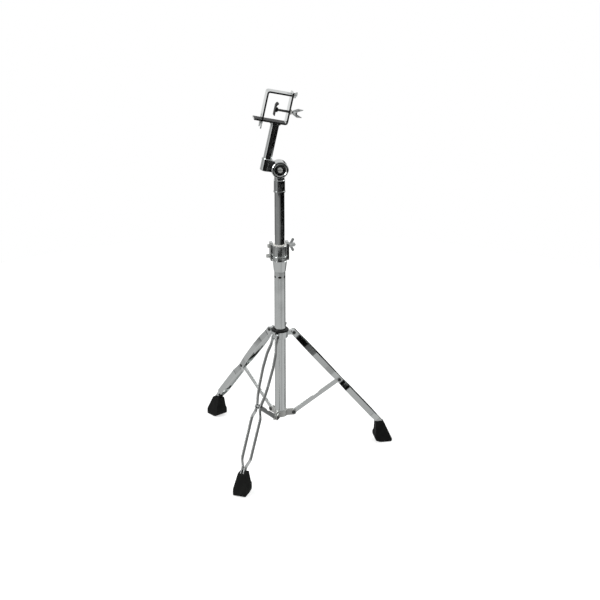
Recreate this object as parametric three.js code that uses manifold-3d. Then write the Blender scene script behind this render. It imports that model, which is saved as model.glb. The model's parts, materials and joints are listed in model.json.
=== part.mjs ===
// Folding tripod stand for a pair of bongos: a telescopic mast on a double-strip tripod,
// a tilter, an offset arm, and a frame that clamps the block between the two drums.
// Units are millimetres and degrees, +Z is up, and the player stands towards -Y.

import * as THREE from "three";
import { mergeVertices } from "three/addons/utils/BufferGeometryUtils.js";
import Module from "manifold-3d";

const wasm = await Module();
wasm.setup();

// Fits and facets
const SEAT = 0.3;
const EDGE = 1;
const OVERRUN = 2;
const WELD = 1e-4;
const TUBE_FACETS = 28;
const SMALL_FACETS = 14;
const CURVE_STEPS = 3;
const ARC_STEPS = 4;
const RIVET_FACETS = 12;
const THIRDS = [0, 1, 2];
const SIDES = [1, -1];

// Mast tubes
const BASE_OD = 25.4;
const UPPER_OD = 22.2;
const ARM_OD = 19.05;
const TUBE_WALL = 1.2;
const BASE_LENGTH = 379;
const UPPER_LENGTH = 350;
const UPPER_DRAWN = 123.4;
const NOTCH_DEPTH = 0.6;
const NOTCH_TOOL_RADIUS = 2.4;
const NOTCH_BELOW_CLAMP = 12.5;
const NOTCH_COUNT = 6;
const NOTCH_TURN = 20.5;

// Tripod
const LEG_SLOPE = 49.75;
const LEG_TO_PIVOT = 163.8;
const LEG_TO_NECK = 309.9;
const LEG_IN_FOOT = 12;
const NECK_HEIGHT = 51.9;
const UPPER_EAR_REACH = 31;
const LOWER_EAR_REACH = 30.3;
const LOWER_EAR_HEIGHT = 89.8;

// Leg strips: half the distance between the two strips at named places along the leg
const STRIP_WIDTH = 13;
const STRIP_THICKNESS = 2.4;
const EAR_SPREAD = 5.5;
const SHOULDER_SPREAD = 10.2;
const BOW_SPREAD = 11.7;
const WAIST_SPREAD = 8.2;
const PIVOT_SPREAD = 4.75;
const SHIN_SPREAD = 10.3;
const ANKLE_SPREAD = 9.9;
const FOOT_SPREAD = 3.1;
const EAR_STRAIGHT = 15.5;
const SHOULDER_PLACE = 39;
const BOW_PLACE = 73;
const WAIST_BEFORE_PIVOT = 24;
const PIVOT_STRAIGHT = 10;
const SHIN_AFTER_PIVOT = 26;
const ANKLE_BEFORE_NECK = 24;
const STRAIGHT_BEFORE_NECK = 6;
const STRIP_END_ROUND = 3;

// Braces
const BRACE_WIDTH = 10.8;
const BRACE_WAIST = 8.8;
const BRACE_THICKNESS = 2.6;
const WAIST_LENGTH = 14;
const WAIST_FLANK = 9;
const WAIST_PLACE_SHARE = 0.51;

// Rivets
const RIVET_RADIUS = 2.4;
const RIVET_HEAD_RADIUS = 4.2;
const RIVET_HEAD_HEIGHT = 1.9;
const RIVET_CROWN_SHARE = 0.7;
const SPACER_RADIUS = 5;
const PIVOT_GAP = 0.35;

// Lower collar
const LOWER_COLLAR_RADIUS = 15.4;
const LOWER_COLLAR_HEIGHT = 14;
const LOWER_COLLAR_DROP = 6.2;
const LEDGE = 1.5;
const LEDGE_REACH = 2.2;
const EAR_RADIUS = 6.2;
const EAR_THICKNESS = 3.1;

// Upper collar, its bush and its screw
const HUB_RADIUS = 17.9;
const HUB_HEIGHT = 15.4;
const HUB_DROP = 9.9;
const HUB_CHAMFER = 1.2;
const LUG_RADIUS = 5.3;
const LUG_FOOT_HEIGHT = 10.6;
const BUSH_WALL = 1.6;
const BUSH_FLANGE_RADIUS = 19.6;
const BUSH_FLANGE_HEIGHT = 4.8;
const BUSH_FLANGE_ROUND = 1.6;
const SCREW_BOSS_RADIUS = 6.2;
const SCREW_BOSS_REACH = 24;
const COLLAR_SCREW_HUB = 5;
const COLLAR_SCREW_LENGTH = 17;
const COLLAR_SCREW_SPAN = 14;

// Rubber feet
const SOLE_WIDTH = 31;
const NECK_WIDTH = 17.4;
const HEEL_REACH = 11;
const TOE_REACH = 31.5;
const NECK_HEEL = 7.6;
const NECK_TOE = 13;
const FOOT_HEIGHT = 50;
const NECK_SLANT = 2.5;
const SOLE_EDGE = 5;
const HEEL_LIP_TOP = 22;
const HEEL_LIP_BOTTOM = 14;
const ROCKER_LENGTH = 15;
const FOOT_ROUND = 3;
const SOLE_CORNER = 6;
const SOLE_SIDE_HEIGHT = 15;

// Threads and wings
const THREAD_RADIUS = 2.6;
const WING_THICKNESS = 2.6;
const WING_KNEE_SHARE = 0.45;
const WING_TIP_SHARE = 0.86;
const WING_ROUND_SHARE = 0.2;
const WING_CROTCH_SHARE = 0.6;
const HUB_TAPER_SHARE = 0.82;

// Height clamp, heights above its foot
const CLAMP_GRIP = 26.4;
const CLAMP_TOE = 5;
const CLAMP_TAPER = 24;
const CLAMP_NECK = 30.5;
const CLAMP_LEDGE = 35;
const CLAMP_GROOVE = 39;
const CLAMP_TOP = 61;
const CLAMP_TOE_RADIUS = 13.6;
const CLAMP_FOOT_RADIUS = 14.3;
const CLAMP_SLEEVE_RADIUS = 16.5;
const CLAMP_NECK_RADIUS = 15.4;
const CLAMP_GROOVE_RADIUS = 14.6;
const CLAMP_BAND_RADIUS = 16.2;
const CLAMP_SPLIT = 6;
const CHEEK_LEFT = 19;
const CHEEK_RIGHT = 22.4;
const CHEEK_THICKNESS = 5.5;
const CHEEK_BACK = 28;
const CHEEK_FRONT = 5;
const SHOULDER_DEPTH = 7;
const CHEEK_BOTTOM = 21.5;
const CHEEK_TOP = 62.5;
const CHEEK_ROUND = 6;
const CLAMP_BOLT_BACK = 21.5;
const CLAMP_BOLT_HEIGHT = 52;
const FIXING_BOLT_HEIGHT = 28.5;
const BOLT_HEAD_RADIUS = 4.6;
const BOLT_HEAD_HEIGHT = 4.6;
const FIXING_HEAD_HEIGHT = 7.5;
const CLAMP_NUT_LENGTH = 15;
const CLAMP_NUT_RADIUS = 5.6;
const CLAMP_WING_SPAN = 16;
const CLAMP_WING_START = 4;
const CLAMP_BOLT_PAST_NUT = 1.5;
const MAST_BUSH_FLANGE_RADIUS = 14.4;
const MAST_BUSH_FLANGE = 1.4;

// Tilter
const SLEEVE_RADIUS = 12.4;
const SLEEVE_LIP_RADIUS = 13.2;
const SLEEVE_LIP_HEIGHT = 2.8;
const SLEEVE_HEIGHT = 27.2;
const SLEEVE_CAP = 2;
const SLEEVE_BOTTOM_TO_AXIS = 52.1;
const DISC_RADIUS = 19;
const DISC_DEPTH = 12;
const DISC_EDGE = 1.4;
const DISC_CLEARANCE = 0.7;
const RIM_WIDTH = 4.2;
const RECESS_DEPTH = 2;
const NECK_ABOVE_SLEEVE = 17;
const TILT_HEAD_RADIUS = 6;
const TILT_HEAD_HEIGHT = 3.6;
const TILT_NUT_RADIUS = 7;
const TILT_NUT_LENGTH = 15;
const TILT_WING_SPAN = 17;
const TILT_LEAN = 12.6;
const ARM_OFFSET = 31;
const SOCKET_WALL = 1.6;
const SOCKET_TOP = 18.5;
const SOCKET_BOTTOM = 8.5;
const SOCKET_FLOOR = 2.5;
const SOCKET_RING = 0.7;
const SOCKET_RING_HEIGHT = 2.6;
const WEB_BELOW_TOP = 1;
const WEB_DEPTH = 10;

// Clamp frame, measured from the tilt axis along the arm and across it
const BAR_THICKNESS = 3.8;
const BAR_DEPTH = 24;
const FRAME_BOTTOM = 101;
const FRAME_HEIGHT = 68;
const FRAME_WIDTH = 58.5;
const FRAME_RIGHT = -6;
const FRAME_CORNER = 6.5;
const LOW_TAB = 16.5;
const TOP_TAB = 4.5;
const ARM_FLANGE_RADIUS = 12.4;
const ARM_FLANGE_HEIGHT = 3.4;
const STUD_WELD = 10;
const LOW_STUD_LENGTH = 12;
const TOP_STUD_LENGTH = 9;
const GATE_NUT_RADIUS = 4.6;
const LOW_NUT_LENGTH = 18;
const TOP_NUT_LENGTH = 10;
const GATE_HUB_SHARE = 0.4;
const GATE_WING_SPAN = 13;
const SIDE_NUT_TURN = 50;

// Pressure screw and pad
const SCREW_ABOVE_BOTTOM = 28;
const PAD_FROM_BAR = 27;
const PAD_THICKNESS = 2.4;
const PAD_BELOW = 13;
const PAD_ABOVE = 11;
const PAD_CURL = 4;
const PAD_CURL_REACH = 3.6;
const PAD_CURL_RISE = 5;
const PAD_WIDTH = 14;
const CUP_RADIUS = 5.2;
const CUP_DEPTH = 4.6;
const NUT_RADIUS = 6;
const NUT_SIDES = 6;
const NUT_HEIGHT = 4.8;
const PRESS_COLLAR_RADIUS = 4.6;
const PRESS_HUB_LENGTH = 6;
const PRESS_WING_LENGTH = 23;
const PRESS_WING_SPAN = 10;
const PRESS_STANDOFF = 3;

const rad = THREE.MathUtils.degToRad;
const baseRadius = BASE_OD / 2;
const upperRadius = UPPER_OD / 2;
const armRadius = ARM_OD / 2;
const rivetHole = RIVET_RADIUS + SEAT;
const threadHole = THREAD_RADIUS + SEAT;

// Solids and booleans

function signedVolume(points, corners) {
  const [a, b, c] = THIRDS.map(() => new THREE.Vector3());
  let volume = 0;
  for (let i = 0; i < corners.length; i += 3) {
    a.fromArray(points, 3 * corners[i]);
    b.fromArray(points, 3 * corners[i + 1]);
    c.fromArray(points, 3 * corners[i + 2]);
    volume += a.dot(b.cross(c)) / 6;
  }
  return volume;
}

function solidOf(geometry) {
  const bare = geometry.clone();
  bare.deleteAttribute("normal");
  bare.deleteAttribute("uv");
  const welded = mergeVertices(bare, WELD);
  const points = welded.attributes.position.array;
  const corners = [];
  for (let i = 0; i < welded.index.count; i += 3) {
    const [a, b, c] = THIRDS.map((k) => welded.index.array[i + k]);
    if (a !== b && b !== c && c !== a) corners.push(a, b, c);
  }
  if (signedVolume(points, corners) < 0) corners.reverse();
  return new wasm.Manifold(new wasm.Mesh({
    numProp: 3,
    vertProperties: Float32Array.from(points),
    triVerts: Uint32Array.from(corners),
  }));
}

function geometryOf(solid) {
  const mesh = solid.getMesh();
  const geometry = new THREE.BufferGeometry();
  geometry.setAttribute("position", new THREE.BufferAttribute(Float32Array.from(mesh.vertProperties), 3));
  geometry.setIndex(new THREE.BufferAttribute(Uint32Array.from(mesh.triVerts), 1));
  return geometry;
}

const join = (first, ...others) => others.reduce((sum, next) => sum.add(next), first);
const cut = (first, ...tools) => tools.reduce((left, tool) => left.subtract(tool), first);

// Profiles [radius, height] turned about Z
function turned(profile, facets = TUBE_FACETS) {
  const points = profile.map(([radius, height]) => new THREE.Vector2(radius, height));
  return new THREE.LatheGeometry(points, facets).rotateX(Math.PI / 2);
}

function ring(inner, outer, bottom, top, facets = TUBE_FACETS) {
  return turned([[inner, bottom], [outer, bottom], [outer, top], [inner, top], [inner, bottom]], facets);
}

function rod(radius, bottom, top, facets = SMALL_FACETS) {
  return turned([[0, bottom], [radius, bottom], [radius, top], [0, top]], facets);
}

function block(width, depth, height, x, y, z) {
  return new THREE.BoxGeometry(width, depth, height).translate(x, y, z);
}

// A shape in X and Z pushed through along Y, half to each side of the plane y = middle
function plateXZ(shape, thickness, middle = 0, steps = CURVE_STEPS) {
  const flat = new THREE.ExtrudeGeometry(shape, {
    depth: thickness, bevelEnabled: false, curveSegments: steps,
  });
  return flat.rotateX(Math.PI / 2).translate(0, middle + thickness / 2, 0);
}

// A shape in X and Y raised from bottom to top
function slabXY(shape, bottom, top) {
  return new THREE.ExtrudeGeometry(shape, {
    depth: top - bottom, bevelEnabled: false, curveSegments: CURVE_STEPS,
  }).translate(0, 0, bottom);
}

const towardX = (geometry) => geometry.rotateY(Math.PI / 2);
const towardY = (geometry) => geometry.rotateX(-Math.PI / 2);

// A polygon whose corners [x, y, round] are rounded by curves that end round away
function rounded(corners) {
  const shape = new THREE.Shape();
  const count = corners.length;
  corners.forEach(([x, y, round = 0], i) => {
    const [px, py] = corners[(i + count - 1) % count];
    const [nx, ny] = corners[(i + 1) % count];
    const before = new THREE.Vector2(px - x, py - y).setLength(round);
    const after = new THREE.Vector2(nx - x, ny - y).setLength(round);
    if (i === 0) shape.moveTo(x + before.x, y + before.y);
    else shape.lineTo(x + before.x, y + before.y);
    if (round > 0) shape.quadraticCurveTo(x, y, x + after.x, y + after.y);
  });
  shape.closePath();
  return shape;
}

// Finishes
const FINISHES = {
  chrome: { color: 0xb4b7b5, roughness: 0.12, metalness: 1 },
  steel: { color: 0xa3a7a4, roughness: 0.28, metalness: 1 },
  zinc: { color: 0xaeb1b0, roughness: 0.2, metalness: 1 },
  dark: { color: 0x3a3b3c, roughness: 0.4, metalness: 0.8 },
  nylon: { color: 0x141514, roughness: 0.5, metalness: 0 },
  natural: { color: 0xe6e5de, roughness: 0.4, metalness: 0 },
  rubber: { color: 0x1f201e, roughness: 0.8, metalness: 0 },
};

function part(parent, name, shape, finish, place = {}) {
  const geometry = shape.isBufferGeometry ? shape : geometryOf(shape);
  const mesh = new THREE.Mesh(geometry, new THREE.MeshStandardMaterial(FINISHES[finish]));
  mesh.name = name;
  mesh.position.set(place.x ?? 0, place.y ?? 0, place.z ?? 0);
  parent.add(mesh);
  return mesh;
}

// Wings of a wing nut or wing screw: two flat lobes in the XZ plane around a hub along Z
function wings(hubRadius, span, length) {
  const lobe = (side) => rounded([
    [0, 0],
    [side * hubRadius, 0],
    [side * span, length * WING_KNEE_SHARE, hubRadius * WING_ROUND_SHARE * 2],
    [side * span * WING_TIP_SHARE, length, span * WING_ROUND_SHARE],
    [side * hubRadius * WING_CROTCH_SHARE, length * WING_KNEE_SHARE, hubRadius * WING_ROUND_SHARE],
    [0, length * WING_KNEE_SHARE * WING_CROTCH_SHARE],
  ]);
  return SIDES.map((side) => solidOf(plateXZ(lobe(side), WING_THICKNESS)));
}

// Heights worked out from the driving dimensions
const slope = rad(LEG_SLOPE);
const upperEarHeight = NECK_HEIGHT + LEG_TO_NECK * Math.sin(slope);
const pivotReach = UPPER_EAR_REACH + LEG_TO_PIVOT * Math.cos(slope);
const pivotHeight = upperEarHeight - LEG_TO_PIVOT * Math.sin(slope);
const neckReach = UPPER_EAR_REACH + LEG_TO_NECK * Math.cos(slope);
const braceLength = Math.hypot(pivotReach - LOWER_EAR_REACH, pivotHeight - LOWER_EAR_HEIGHT);
const braceSlope = Math.atan2(pivotHeight - LOWER_EAR_HEIGHT, pivotReach - LOWER_EAR_REACH);
const lowerCollarBottom = LOWER_EAR_HEIGHT - LOWER_COLLAR_DROP;
const baseBottom = lowerCollarBottom + LEDGE + SEAT;
const baseTop = baseBottom + BASE_LENGTH;
const clampFoot = baseTop - CLAMP_GRIP;
const clampTop = clampFoot + CLAMP_TOP;
const sleeveBottom = clampTop + UPPER_DRAWN;
const tiltHeight = sleeveBottom + SLEEVE_BOTTOM_TO_AXIS;
const bushBore = baseRadius + SEAT;
const hubBottom = upperEarHeight - HUB_DROP;
const hubTop = hubBottom + HUB_HEIGHT;

// Base tube with its ring of crimp notches
function baseTube() {
  const tube = solidOf(ring(baseRadius - TUBE_WALL, baseRadius, baseBottom, baseTop));
  const notches = Array.from({ length: NOTCH_COUNT }, (_, i) => {
    const reach = baseRadius - NOTCH_DEPTH + NOTCH_TOOL_RADIUS;
    const tool = rod(NOTCH_TOOL_RADIUS, -baseRadius, baseRadius);
    tool.rotateX(Math.PI / 2).translate(reach, 0, clampFoot - NOTCH_BELOW_CLAMP);
    return solidOf(tool.rotateZ(rad(NOTCH_TURN) + (2 * Math.PI * i) / NOTCH_COUNT));
  });
  return cut(tube, ...notches);
}

// A lug or ear that reaches from the mast axis to a rivet, flat in the radial plane
function lug(reach, height, radius, footHalf) {
  const shape = new THREE.Shape();
  shape.moveTo(baseRadius + TUBE_WALL, height - footHalf);
  shape.lineTo(reach, height - radius);
  shape.absarc(reach, height, radius, -Math.PI / 2, Math.PI / 2, false);
  shape.lineTo(baseRadius + TUBE_WALL, height + footHalf);
  shape.closePath();
  return shape;
}

function rivetBore(reach, height, radius) {
  return rod(radius, -BASE_OD, BASE_OD, RIVET_FACETS).rotateX(Math.PI / 2).translate(reach, 0, height);
}

const aroundMast = (geometry, i) => geometry.rotateZ((2 * Math.PI * i) / 3);

function lowerCollar() {
  const top = lowerCollarBottom + LOWER_COLLAR_HEIGHT;
  const bore = baseRadius + SEAT;
  const ledgeBore = bore - LEDGE_REACH;
  const ledgeTop = lowerCollarBottom + LEDGE;
  const body = solidOf(turned([
    [ledgeBore, lowerCollarBottom], [LOWER_COLLAR_RADIUS - EDGE, lowerCollarBottom],
    [LOWER_COLLAR_RADIUS, lowerCollarBottom + EDGE], [LOWER_COLLAR_RADIUS, top],
    [bore, top], [bore, ledgeTop], [ledgeBore, ledgeTop], [ledgeBore, lowerCollarBottom],
  ]));
  const middle = (BRACE_THICKNESS + EAR_THICKNESS) / 2 + SEAT;
  const ears = THIRDS.flatMap((i) => SIDES.map((side) => {
    const shape = lug(LOWER_EAR_REACH, LOWER_EAR_HEIGHT, EAR_RADIUS, EAR_RADIUS);
    return solidOf(aroundMast(plateXZ(shape, EAR_THICKNESS, side * middle, ARC_STEPS), i));
  }));
  const bores = THIRDS.map((i) => solidOf(aroundMast(
    rivetBore(LOWER_EAR_REACH, LOWER_EAR_HEIGHT, rivetHole), i)));
  const through = solidOf(rod(bore, ledgeTop, top + OVERRUN, TUBE_FACETS));
  return cut(join(body, ...ears), through, ...bores);
}

// Sliding collar: hub, three lugs and the boss of the locking screw
function upperCollar() {
  const bore = bushBore + BUSH_WALL + SEAT;
  const hub = solidOf(turned([
    [bore, hubBottom], [HUB_RADIUS - HUB_CHAMFER, hubBottom], [HUB_RADIUS, hubBottom + HUB_CHAMFER],
    [HUB_RADIUS, hubTop], [bore, hubTop], [bore, hubBottom],
  ]));
  const thickness = 2 * (EAR_SPREAD - STRIP_THICKNESS / 2 - SEAT);
  const lugs = THIRDS.map((i) => solidOf(aroundMast(plateXZ(
    lug(UPPER_EAR_REACH, upperEarHeight, LUG_RADIUS, LUG_FOOT_HEIGHT / 2), thickness, 0, ARC_STEPS), i)));
  const boss = solidOf(aroundScrew(rod(SCREW_BOSS_RADIUS, bore, SCREW_BOSS_REACH)));
  const bores = THIRDS.map((i) => solidOf(aroundMast(
    rivetBore(UPPER_EAR_REACH, upperEarHeight, rivetHole), i)));
  const through = solidOf(rod(bore, hubBottom - OVERRUN, hubTop + OVERRUN, TUBE_FACETS));
  const tapped = solidOf(aroundScrew(rod(threadHole, 0, SCREW_BOSS_REACH + OVERRUN)));
  return cut(join(hub, ...lugs, boss), through, tapped, ...bores);
}

const screwHeight = (hubBottom + hubTop) / 2;
const screwTurn = Math.PI / 3;

function aroundScrew(geometry) {
  return towardX(geometry).rotateZ(screwTurn).translate(0, 0, screwHeight);
}

function collarBush() {
  const flange = hubTop + SEAT;
  const top = flange + BUSH_FLANGE_HEIGHT;
  const sleeve = bushBore + BUSH_WALL;
  const body = solidOf(turned([
    [bushBore, hubBottom], [sleeve, hubBottom], [sleeve, flange],
    [BUSH_FLANGE_RADIUS, flange], [BUSH_FLANGE_RADIUS, top - BUSH_FLANGE_ROUND],
    [BUSH_FLANGE_RADIUS - BUSH_FLANGE_ROUND, top], [bushBore + EDGE, top], [bushBore, top - EDGE],
    [bushBore, hubBottom],
  ]));
  return cut(body, solidOf(aroundScrew(rod(threadHole, 0, SCREW_BOSS_REACH))));
}

// A wing screw along +Z: shank from tip to hub, then hub and wings
function wingScrew(tip, hubBase, hubRadius, hubLength, span, length) {
  const shank = solidOf(rod(THREAD_RADIUS, tip, hubBase + OVERRUN));
  const hub = solidOf(turned([
    [0, hubBase], [hubRadius, hubBase], [hubRadius * HUB_TAPER_SHARE, hubBase + hubLength],
    [0, hubBase + hubLength],
  ], SMALL_FACETS));
  const lobes = wings(hubRadius, span, length).map((lobe) => lobe.translate([0, 0, hubBase]));
  return join(shank, hub, ...lobes);
}

// A wing nut that stands on z = 0 and points along +Z
function wingNut(hubRadius, hubLength, span, length, wingStart = 0) {
  const hub = solidOf(turned([
    [0, 0], [hubRadius, 0], [hubRadius * HUB_TAPER_SHARE, hubLength], [0, hubLength],
  ], SMALL_FACETS));
  const lobes = wings(hubRadius, span, length).map((lobe) => lobe.translate([0, 0, wingStart]));
  const bore = solidOf(rod(threadHole, -OVERRUN, length + OVERRUN + wingStart));
  return cut(join(hub, ...lobes), bore);
}

// A headed bolt that points along +Z, its head below z = 0
function bolt(headRadius, headHeight, length) {
  return turned([
    [0, -headHeight], [headRadius - EDGE, -headHeight], [headRadius, EDGE - headHeight],
    [headRadius, 0], [THREAD_RADIUS, 0], [THREAD_RADIUS, length - EDGE],
    [THREAD_RADIUS - EDGE, length], [0, length],
  ], SMALL_FACETS);
}

// A rivet along Y with a head on both sides
function rivet(halfGrip) {
  const crown = RIVET_HEAD_RADIUS * RIVET_CROWN_SHARE;
  const top = halfGrip + RIVET_HEAD_HEIGHT;
  return towardY(turned([
    [0, -top], [crown, -top], [RIVET_HEAD_RADIUS, -halfGrip - EDGE], [RIVET_HEAD_RADIUS, -halfGrip],
    [RIVET_RADIUS, -halfGrip], [RIVET_RADIUS, halfGrip], [RIVET_HEAD_RADIUS, halfGrip],
    [RIVET_HEAD_RADIUS, halfGrip + EDGE], [crown, top], [0, top],
  ], RIVET_FACETS));
}

// Half of the pivot rivet: a spacer beside the brace, a shank through the strip, a head outside
function pivotHalf(side) {
  const near = BRACE_THICKNESS / 2 + PIVOT_GAP;
  const inner = PIVOT_SPREAD - STRIP_THICKNESS / 2 - SEAT;
  const outer = PIVOT_SPREAD + STRIP_THICKNESS / 2 + SEAT;
  const crown = RIVET_HEAD_RADIUS * RIVET_CROWN_SHARE;
  const half = turned([
    [0, near], [SPACER_RADIUS, near], [SPACER_RADIUS, inner], [RIVET_RADIUS, inner],
    [RIVET_RADIUS, outer], [RIVET_HEAD_RADIUS, outer], [RIVET_HEAD_RADIUS, outer + EDGE],
    [crown, outer + RIVET_HEAD_HEIGHT], [0, outer + RIVET_HEAD_HEIGHT],
  ], RIVET_FACETS);
  return half.rotateX(side > 0 ? -Math.PI / 2 : Math.PI / 2);
}

// Spread of a leg strip along the leg, and the strip bent to it
const legEnd = LEG_TO_NECK + LEG_IN_FOOT;

function stripLine() {
  return [
    [-STRIP_WIDTH / 2, EAR_SPREAD],
    [EAR_STRAIGHT, EAR_SPREAD],
    [SHOULDER_PLACE, SHOULDER_SPREAD],
    [BOW_PLACE, BOW_SPREAD],
    [LEG_TO_PIVOT - 2 * WAIST_BEFORE_PIVOT, SHOULDER_SPREAD],
    [LEG_TO_PIVOT - WAIST_BEFORE_PIVOT, WAIST_SPREAD],
    [LEG_TO_PIVOT - PIVOT_STRAIGHT / 2, PIVOT_SPREAD],
    [LEG_TO_PIVOT + PIVOT_STRAIGHT, PIVOT_SPREAD],
    [LEG_TO_PIVOT + SHIN_AFTER_PIVOT, SHIN_SPREAD],
    [LEG_TO_NECK - ANKLE_BEFORE_NECK, ANKLE_SPREAD],
    [LEG_TO_NECK - STRAIGHT_BEFORE_NECK, FOOT_SPREAD],
    [legEnd, FOOT_SPREAD],
  ];
}

function strip(side) {
  const line = stripLine();
  const half = STRIP_THICKNESS / 2;
  const outer = line.map(([along, spread]) => [along, side * (spread + half)]);
  const inner = line.map(([along, spread]) => [along, side * (spread - half)]).reverse();
  const plan = solidOf(slabXY(bentEdge([...outer, ...inner]), -STRIP_WIDTH, STRIP_WIDTH));
  const radius = STRIP_WIDTH / 2;
  const outline = new THREE.Shape();
  outline.moveTo(0, -radius);
  outline.lineTo(legEnd - STRIP_END_ROUND, -radius);
  outline.quadraticCurveTo(legEnd, -radius, legEnd, -radius + STRIP_END_ROUND);
  outline.lineTo(legEnd, radius - STRIP_END_ROUND);
  outline.quadraticCurveTo(legEnd, radius, legEnd - STRIP_END_ROUND, radius);
  outline.lineTo(0, radius);
  outline.absarc(0, 0, radius, Math.PI / 2, 1.5 * Math.PI, false);
  const face = solidOf(plateXZ(outline, 2 * BASE_OD, 0, ARC_STEPS));
  const bores = [0, LEG_TO_PIVOT].map((along) => solidOf(
    rod(rivetHole, -BASE_OD, BASE_OD, RIVET_FACETS).rotateX(Math.PI / 2).translate(along, 0, 0)));
  return cut(plan.intersect(face), ...bores);
}

// A closed outline whose bends are softened by short curves
function bentEdge(points) {
  const bend = 2 * STRIP_THICKNESS;
  const last = points.length - 1;
  const half = (points.length - 2) / 2;
  return rounded(points.map(([x, y], i) => {
    const end = i === 0 || i === last || i === half || i === half + 1;
    return [x, y, end ? 0 : bend];
  }));
}

function brace() {
  const half = BRACE_WIDTH / 2;
  const dip = BRACE_WAIST - half;
  const middle = braceLength * WAIST_PLACE_SHARE;
  const shape = new THREE.Shape();
  shape.moveTo(0, -half);
  shape.lineTo(braceLength, -half);
  shape.absarc(braceLength, 0, half, -Math.PI / 2, Math.PI / 2, false);
  shape.lineTo(middle + WAIST_LENGTH / 2 + WAIST_FLANK, half);
  shape.quadraticCurveTo(middle + WAIST_LENGTH / 2, half, middle + WAIST_LENGTH / 2, dip);
  shape.lineTo(middle - WAIST_LENGTH / 2, dip);
  shape.quadraticCurveTo(middle - WAIST_LENGTH / 2, half, middle - WAIST_LENGTH / 2 - WAIST_FLANK, half);
  shape.lineTo(0, half);
  shape.absarc(0, 0, half, Math.PI / 2, 1.5 * Math.PI, false);
  for (const x of [0, braceLength]) {
    shape.holes.push(new THREE.Path().absarc(x, 0, rivetHole, 0, 2 * Math.PI, true));
  }
  return plateXZ(shape, BRACE_THICKNESS, 0, ARC_STEPS);
}

// Rubber foot: side outline times front outline, with a pocket for each strip
function foot() {
  const heel = neckReach - HEEL_REACH;
  const toe = neckReach + TOE_REACH;
  const side = rounded([
    [neckReach - NECK_HEEL, FOOT_HEIGHT - NECK_SLANT, EDGE],
    [neckReach + NECK_TOE - FOOT_ROUND, FOOT_HEIGHT, FOOT_ROUND],
    [neckReach + NECK_TOE, FOOT_HEIGHT - FOOT_ROUND, EDGE],
    [toe, SOLE_EDGE, EDGE],
    [toe, SOLE_EDGE / 2, EDGE],
    [toe - SOLE_EDGE, 0, EDGE],
    [heel + ROCKER_LENGTH, 0, FOOT_ROUND],
    [heel + FOOT_ROUND, SOLE_EDGE, FOOT_ROUND],
    [heel, HEEL_LIP_BOTTOM, EDGE],
    [heel, (HEEL_LIP_TOP + HEEL_LIP_BOTTOM) / 2, EDGE],
    [neckReach - NECK_HEEL, HEEL_LIP_TOP + FOOT_ROUND, FOOT_ROUND],
  ]);
  const half = SOLE_WIDTH / 2;
  const neck = NECK_WIDTH / 2;
  const front = rounded([
    [-half + EDGE, 0, EDGE], [half - EDGE, 0, EDGE], [half, SOLE_EDGE, EDGE],
    [half, SOLE_SIDE_HEIGHT, FOOT_ROUND], [neck, FOOT_HEIGHT, FOOT_ROUND],
    [-neck, FOOT_HEIGHT, FOOT_ROUND], [-half, SOLE_SIDE_HEIGHT, FOOT_ROUND],
    [-half, SOLE_EDGE, EDGE],
  ]);
  const across = plateXZ(front, 2 * (HEEL_REACH + TOE_REACH)).rotateZ(Math.PI / 2);
  const plan = rounded([
    [heel, -half, SOLE_CORNER / 2], [toe, -half, SOLE_CORNER],
    [toe, half, SOLE_CORNER], [heel, half, SOLE_CORNER / 2],
  ]);
  const body = solidOf(plateXZ(side, 2 * SOLE_WIDTH))
    .intersect(solidOf(across.translate(neckReach, 0, 0)))
    .intersect(solidOf(slabXY(plan, -OVERRUN, FOOT_HEIGHT + OVERRUN)));
  const pocketLength = LEG_IN_FOOT + SEAT + STRAIGHT_BEFORE_NECK;
  const pockets = SIDES.map((edge) => solidOf(block(
    pocketLength, STRIP_THICKNESS + 2 * SEAT, STRIP_WIDTH + 2 * SEAT,
    legEnd + SEAT - pocketLength / 2, edge * FOOT_SPREAD, 0,
  ).rotateY(slope).translate(UPPER_EAR_REACH, 0, upperEarHeight)));
  return cut(body, ...pockets);
}

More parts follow.
